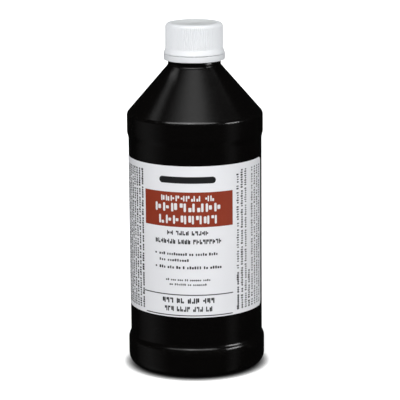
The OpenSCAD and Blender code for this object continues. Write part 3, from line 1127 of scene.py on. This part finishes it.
# Where the silk fades, as shares of the drape's height. The right fade runs at a slant
SILK_LEFT_FADE = (-0.7, 0.0)
SILK_RIGHT_FADE = (0.46, 0.7)
SILK_RIGHT_LEVEL = 0.03
SILK_LEAN = 0.96
REAR_SILK = [(-0.35, 0.5), (0.15, 0.5), (0.25, 0.95), (-0.5, 0.95)]
REAR_SILK_LEVEL = 0.7
RIGHT_CARD = [(0.42, -0.4), (0.95, -0.5), (1.0, 0.2)]
RIGHT_CARD_LEVEL = 0.05
SOFT_CARDS = [
    ("front_card", -0.12, -0.59, 0.45, 0.13, 6.5),
    ("left_card", -0.86, 0.18, 0.15, 0.3, 0.62),
]

# The small card beside the cap: its middle, two half sides, and its level in each step
CATCH_MIDDLE = (-50.2, -2.3, 197.7)
CATCH_HALF_SIDES = (4.8, -12.75, 7.5), (-0.9, -6, 0.7)
CATCH_LEVELS = (0.4, 0.7, 1.0, 1.3, 1.5)

# Glowing strips at floor height that only gloss shows: azimuth of the middle and half the width on
# the wall, and level
STRIP_START = 36.5
STRIP_LENGTH = 2200
STRIP_DROP = 0.014
WALL_STRIPS = [
    ("left_strip", -43, 18, 0.12),
    ("right_strip", 33, 8, 0.085),
    ("rear_strip", 90, 7, 0.16),
]

# Lamps: azimuth and elevation in degrees, width and height in metres, and level
LAMP_DISTANCE = 1.5
AIM_HEIGHT = 0.09
SOFTBOXES = [
    ("left_softbox", -31, 43, 1.04, 0.56, 0.24),
    ("front_softbox", 12, 43, 1.13, 0.56, 0.25),
    ("right_softbox", 66, 13, 0.6, 0.26, 0.2),
]
GLINT = ("glint", -12, 43, 1.9, 0.6, 0.09)
FILL_LAMPS = [
    ("left_fill", -52, 22, 0.9, 0.9, 0.24),
    ("front_fill", -8, 8, 1.4, 0.7, 0.19),
    ("top_fill", 0, 84, 0.9, 0.9, 0.17),
    ("right_fill", 60, 22, 0.9, 0.9, 0.14),
    ("rear_fill", 172, 7, 1.2, 0.9, 0.5),
]

# Camera: metres in front of the axis and above the floor, then turns in degrees
CAMERA_BACK = 1.0546
CAMERA_UP = 0.3235
CAMERA_TILT = 12.67
CAMERA_ASIDE = -0.126
CAMERA_LEAN = -0.46
CAMERA_LENS = 187.1
SENSOR_W = 36


def is_background(graph):
    """1 for rays that show the background: straight, mirrored or through something clear."""
    rays = graph.add("ShaderNodeLightPath", output="Is Camera Ray")
    seen = rays.larger(rays.output("Is Glossy Ray"))
    return seen.maths("MAXIMUM", seen, rays.output("Is Transmission Ray"))


def make_world():
    """White where it is seen, and a little even light on everything."""
    world = bpy.data.worlds.new("studio")
    world.use_nodes = True
    world.node_tree.nodes.clear()
    graph = Graph(world.node_tree)
    colour = blend_colours(graph, is_background(graph), WORLD_LIGHT, WHITE)
    light = graph.add("ShaderNodeBackground", {"Color": colour})
    graph.add("ShaderNodeOutputWorld", {"Surface": light})
    bpy.context.scene.world = world


def grey(graph, shade):
    """A grey whose brightness is the wire shade."""
    inputs = {"Red": shade, "Green": shade, "Blue": shade}
    return graph.add("ShaderNodeCombineColor", inputs)


def flat_piece(name, corners, material):
    """A flat stage piece through corners given in millimetres."""
    piece = mesh_piece(name, corners, [tuple(range(len(corners)))], material)
    return piece


def square(half):
    """Corners of a square about the axis."""
    return [(-half, -half), (half, -half), (half, half), (-half, half)]


def make_floor():
    """Pale floor that runs out to plain white, with the bottle's shadow and a painted contact
    shadow at the foot.
    """
    made, graph = new_material("floor")
    seen = is_background(graph)
    away = graph.add("ShaderNodeVectorMath", {0: object_place(graph)},
                     {"operation": "LENGTH"}, output="Value")
    inputs = {"Distance": CONTACT_REACH * MM}
    # Painted contact shadow: ambient occlusion darkens the floor's colour and glow near the foot
    open_share = graph.add("ShaderNodeAmbientOcclusion", inputs, {"samples": 8}, output="AO")
    open_share = open_share * open_share
    glow = seen * open_share * between(graph, away, GLOW_NEAR, GLOW_FAR, GLOW_FROM, GLOW_TO)
    glow_colour = grey(graph, glow)
    pale = blend_colours(graph, open_share, (0.0, 0.0, 0.0), FLOOR_WHITE)
    colour = blend_colours(graph, seen, FLOOR_BOUNCE, pale)
    inputs = {"Base Color": colour, "Roughness": 0.9, "Specular IOR Level": 0.0,
              "Emission Color": glow_colour, "Emission Strength": 1.0}
    shader = graph.add("ShaderNodeBsdfPrincipled", inputs)
    graph.add("ShaderNodeOutputMaterial", {"Surface": shader})
    flat_piece("floor", [(x, y, -FLOOR_DROP) for x, y in square(FLOOR_HALF)], made)


def only_mirrored(piece):
    piece.visible_camera = False
    piece.visible_diffuse = False
    piece.visible_transmission = False
    piece.visible_shadow = False


def lit_cloth(name, level):
    """Cloth of one brightness, or of a brightness worked out by level(graph)."""
    made, graph = new_material(name)
    colour = grey(graph, level(graph)) if callable(level) else (level, level, level, 1.0)
    light = graph.add("ShaderNodeEmission", {"Color": colour, "Strength": 1.0})
    graph.add("ShaderNodeOutputMaterial", {"Surface": light})
    return made


def card(name, corners, level):
    """A flat cloth or card that only mirrored rays meet."""
    only_mirrored(flat_piece(name, corners, lit_cloth(name, level)))


def overhead(shares, drop=SILK_DROP):
    """Corners of a card hung under the drape's top, from shares of its height."""
    return [(x * DRAPE_H, y * DRAPE_H, DRAPE_H - drop) for x, y in shares]


def soft_card(name, x, y, half_x, half_y, level):
    """A card overhead that is brightest in its middle, as steps laid one on another."""
    for k in range(CARD_STEPS):
        share = 1 - k / CARD_STEPS
        wide, deep = half_x * share, half_y * share
        corners = [(x - wide, y - deep), (x + wide, y - deep), (x + wide, y + deep),
                   (x - wide, y + deep)]
        level_here = level * (k + 1) / CARD_STEPS
        card(f"{name}_{k}", overhead(corners, SOFT_CARD_DROP + k), level_here)


def wall_strip(name, middle, half, level):
    """A glowing strip at floor height, seen only in gloss, that the upright wall mirrors to the
    front, in soft steps.

    It shows on the wall within half degrees of the azimuth in the middle, at every height.
    """
    for k in range(CARD_STEPS):
        spread = half * (1 - k / CARD_STEPS)
        corners = []
        for side, out in ((-1, 0), (-1, STRIP_LENGTH), (1, STRIP_LENGTH), (1, 0)):
            a = math.radians(middle + side * spread)
            corners.append((STRIP_START * math.sin(a) + out * math.sin(2 * a),
                            -STRIP_START * math.cos(a) - out * math.cos(2 * a),
                            -STRIP_DROP + 0.001 * k))
        card(f"{name}_{k}", corners, level * (k + 1) / CARD_STEPS)


def catch_light():
    """The small card beside the cap, in soft steps, that the cone mirrors as a light spot."""
    for k, level in enumerate(CATCH_LEVELS):
        share = 1 - k / len(CATCH_LEVELS)
        wide, deep = [Vector(side) * share for side in CATCH_HALF_SIDES]
        nearer = Vector(CATCH_MIDDLE) + wide.cross(deep).normalized() * k
        corners = [nearer - wide - deep, nearer + wide - deep, nearer + wide + deep,
                   nearer - wide + deep]
        card(f"catch_light_{k}", corners, level)


def silk_level(graph):
    """Brightness of the overhead silk: full in the middle, fading to both sides."""
    place = graph.add("ShaderNodeSeparateXYZ", {"Vector": object_place(graph)})
    x = place / (DRAPE_H * MM)
    y = place.output("Y") / (DRAPE_H * MM)
    left = between(graph, x, 0.0, 1.0, *SILK_LEFT_FADE)
    right = between(graph, x - SILK_LEAN * y, 1.0, SILK_RIGHT_LEVEL, *SILK_RIGHT_FADE)
    return SILK_LEVEL * left * right


def make_drape():
    """Dark drape round the set, with a lit silk overhead, for the dark plastic to mirror."""
    points = [(x, y, z) for z in (-DRAPE_DROP, DRAPE_H) for x, y in square(DRAPE_R)]
    drape = mesh_piece("drape", points, tube_faces(2, 4), lit_cloth("dark_drape", DRAPE_LEVEL))
    only_mirrored(drape)
    card("silk", overhead(SILK), silk_level)
    for sizes in SOFT_CARDS:
        soft_card(*sizes)
    catch_light()
    card("rear_silk", overhead(REAR_SILK), REAR_SILK_LEVEL)
    card("right_card", overhead(RIGHT_CARD), RIGHT_CARD_LEVEL)
    for sizes in WALL_STRIPS:
        wall_strip(*sizes)


def towards(azimuth, elevation, distance):
    """A place seen from the object's middle. Azimuth 0 is the front and 90 the right."""
    a, e = math.radians(azimuth), math.radians(elevation)
    way = Vector((math.sin(a) * math.cos(e), -math.cos(a) * math.cos(e), math.sin(e)))
    return way * distance + Vector((0, 0, AIM_HEIGHT))


def softbox(name, azimuth, elevation, wide, high, level, mirrored=True, lights=True):
    """A soft lamp that would light a face turned to it at this level, where 1 is plain.

    Gloss doesn't mirror it unless mirrored is set, and only gloss shows it unless lights is.
    """
    lamp = bpy.data.lights.new(name, "AREA")
    lamp.shape = "RECTANGLE"
    lamp.size = wide
    lamp.size_y = high
    lamp.energy = level * (math.pi * LAMP_DISTANCE) ** 2
    piece = link(bpy.data.objects.new(name, lamp))
    piece.visible_glossy = mirrored
    piece.visible_diffuse = lights
    piece.location = towards(azimuth, elevation, LAMP_DISTANCE)
    aim = towards(azimuth, elevation, 0) - piece.location
    piece.rotation_euler = aim.to_track_quat("-Z", "Y").to_euler()


def make_lights():
    """Softboxes that the black plastic mirrors, and fill that only lifts the white pieces."""
    for sizes in SOFTBOXES:
        softbox(*sizes)
    softbox(*GLINT, lights=False)
    for sizes in FILL_LAMPS:
        softbox(*sizes, mirrored=False)


def make_camera():
    """Camera at the height, distance and tilt of an ordinary product view."""
    camera = bpy.data.cameras.new("camera")
    camera.sensor_width = SENSOR_W
    camera.lens = CAMERA_LENS
    camera.clip_start = 0.05
    camera.clip_end = 50
    piece = link(bpy.data.objects.new("camera", camera))
    stand = Matrix.Translation((0, -CAMERA_BACK, CAMERA_UP))
    aside = Matrix.Rotation(math.radians(CAMERA_ASIDE), 4, "Z")
    tilt = Matrix.Rotation(math.radians(90 - CAMERA_TILT), 4, "X")
    lean = Matrix.Rotation(math.radians(CAMERA_LEAN), 4, "Z")
    piece.matrix_world = stand @ aside @ tilt @ lean
    bpy.context.scene.camera = piece
    bpy.context.scene.view_settings.view_transform = "Standard"


# ---------------------------------------------------------------- everything in its place


def settle(piece, body, node=None):
    """Hangs a finished piece on the body it rides on, and hides the CAD node it stands for."""
    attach(piece, body)
    if node:
        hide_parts(node)


def build():
    make_camera()
    make_world()
    make_floor()
    make_drape()
    make_lights()
    repeat_round = ring_tool()
    white_plastic = moulded_white_plastic()
    settle(make_bottle(blown_black_plastic()), "bottle_body", "bottle")
    black_ink = printing_ink("black_ink", *BLACK_INK)
    red_ink = printing_ink("red_brown_ink", *RED_BROWN_INK)
    white_ink = printing_ink("white_ink", *WHITE_INK)
    label, prints = make_label(label_film(), black_ink, red_ink, white_ink)
    settle(label, "bottle_body", "label")
    for piece in prints:
        settle(piece, "bottle_body")
    settle(make_cap(white_plastic, repeat_round), "cap_body", "cap")
    settle(make_liner(liner_foam()), "liner_body", "cap_liner")
    settle(make_band(white_plastic, repeat_round), "band_body", "tamper_band")


build()
